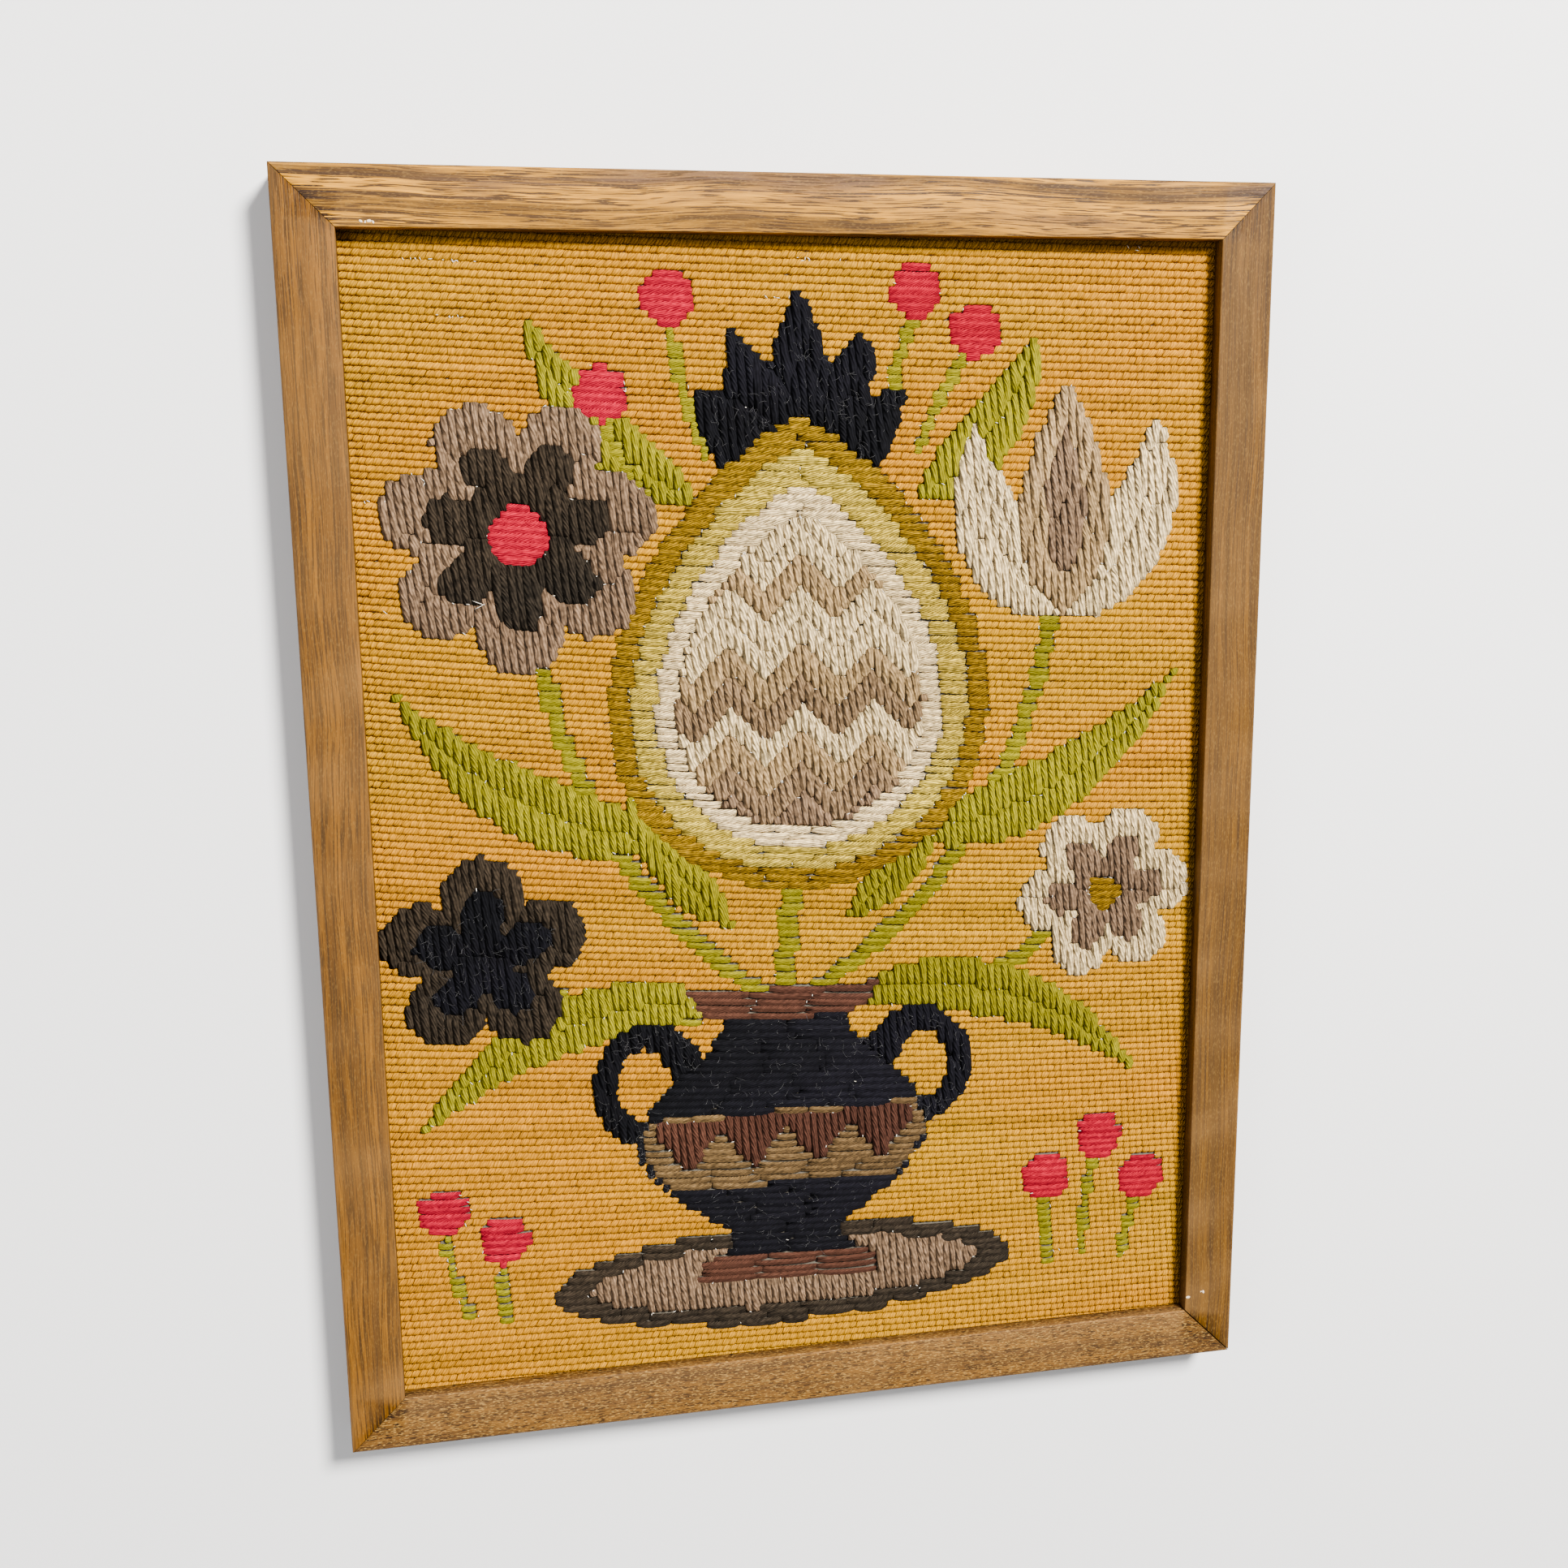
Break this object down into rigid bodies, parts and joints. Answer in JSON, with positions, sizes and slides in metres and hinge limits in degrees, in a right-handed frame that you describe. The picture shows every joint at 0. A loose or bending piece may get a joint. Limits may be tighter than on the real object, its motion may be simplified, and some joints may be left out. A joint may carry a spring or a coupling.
{
  "type": "crewel embroidery in a wooden picture frame",
  "caption": "Wool needlework picture of an urn of flowers on square canvas, held behind the lip of a plain mitred oak frame.",
  "frame": {"origin": "middle of the back, on the plane of the rails' backs", "axes": "+Z out of the stitched face, +Y to the picture's top, +X to its right side"},
  "size_m": [0.3308, 0.4324, 0.018],
  "materials": {
    "oak": "satin varnish over open grain",
    "wool": "matte wool yarn"
  },
  "bodies": {
    "root": {"frame_rail_top": "oak", "frame_rail_bottom": "oak", "frame_rail_left": "oak", "frame_rail_right": "oak", "stitched_canvas": "wool"}
  },
  "joints": []
}
